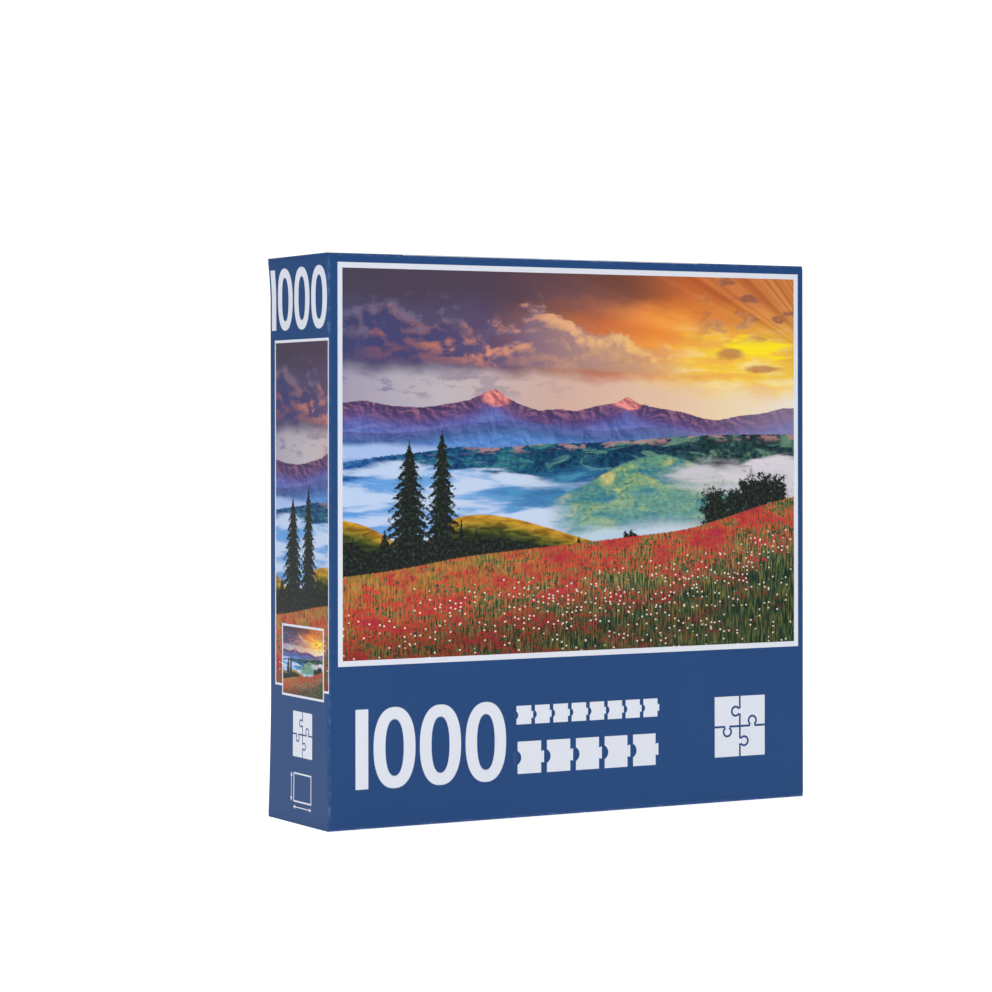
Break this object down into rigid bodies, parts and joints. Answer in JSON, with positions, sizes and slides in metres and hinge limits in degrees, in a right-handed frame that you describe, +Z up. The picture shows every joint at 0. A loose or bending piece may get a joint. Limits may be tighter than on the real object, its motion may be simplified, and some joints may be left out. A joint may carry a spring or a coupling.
{
  "type": "boxed jigsaw puzzle",
  "caption": "Square two-part cardboard puzzle box, lid over tray, standing on edge, with a sealed film bag of loose interlocking jigsaw pieces inside.",
  "frame": {"origin": "middle of the footprint, on the surface that the box stands on", "axes": "+Z up; the lid's printed panel faces -Y; +X to the right of someone who looks at that panel"},
  "size_m": [0.25, 0.062, 0.25],
  "materials": {
    "printed_paper": "satin laminated print, navy with a landscape panel",
    "greyboard": "matte recycled greyboard",
    "gummed_paper": "matte brown gummed paper",
    "clear_film": "clear polythene film",
    "puzzle_board": "blue-grey board, printed on one face"
  },
  "bodies": {
    "base": {"base_board": "greyboard", "base_wrap": "printed_paper", "base_stay_top_left": "gummed_paper", "base_stay_top_right": "gummed_paper", "base_stay_bottom_left": "gummed_paper", "base_stay_bottom_right": "gummed_paper"},
    "contents": {"piece_bag": "clear_film", "jigsaw_corner_pieces": "puzzle_board", "jigsaw_top_edge_pieces": "puzzle_board", "jigsaw_bottom_edge_pieces": "puzzle_board", "jigsaw_left_edge_pieces": "puzzle_board", "jigsaw_right_edge_pieces": "puzzle_board", "jigsaw_row_02": "puzzle_board", "jigsaw_row_03": "puzzle_board", "jigsaw_row_04": "puzzle_board", "jigsaw_row_05": "puzzle_board", "jigsaw_row_06": "puzzle_board", "jigsaw_row_07": "puzzle_board", "jigsaw_row_08": "puzzle_board", "jigsaw_row_09": "puzzle_board", "jigsaw_row_10": "puzzle_board", "jigsaw_row_11": "puzzle_board", "jigsaw_row_12": "puzzle_board", "jigsaw_row_13": "puzzle_board", "jigsaw_row_14": "puzzle_board", "jigsaw_row_15": "puzzle_board", "jigsaw_row_16": "puzzle_board", "jigsaw_row_17": "puzzle_board", "jigsaw_row_18": "puzzle_board", "jigsaw_row_19": "puzzle_board", "jigsaw_row_20": "puzzle_board", "jigsaw_row_21": "puzzle_board", "jigsaw_row_22": "puzzle_board", "jigsaw_row_23": "puzzle_board", "jigsaw_row_24": "puzzle_board"},
    "lid": {"lid_board": "greyboard", "lid_wrap": "printed_paper", "lid_stay_top_left": "gummed_paper", "lid_stay_top_right": "gummed_paper", "lid_stay_bottom_left": "gummed_paper", "lid_stay_bottom_right": "gummed_paper"}
  },
  "joints": [
    {"name": "contents_out", "type": "slide", "parent": "base", "child": "contents", "axis": [0, -1, 0], "range_m": [0, 0.07]},
    {"name": "lid_off", "type": "slide", "parent": "contents", "child": "lid", "axis": [0, -1, 0], "range_m": [0, 0.1]}
  ]
}
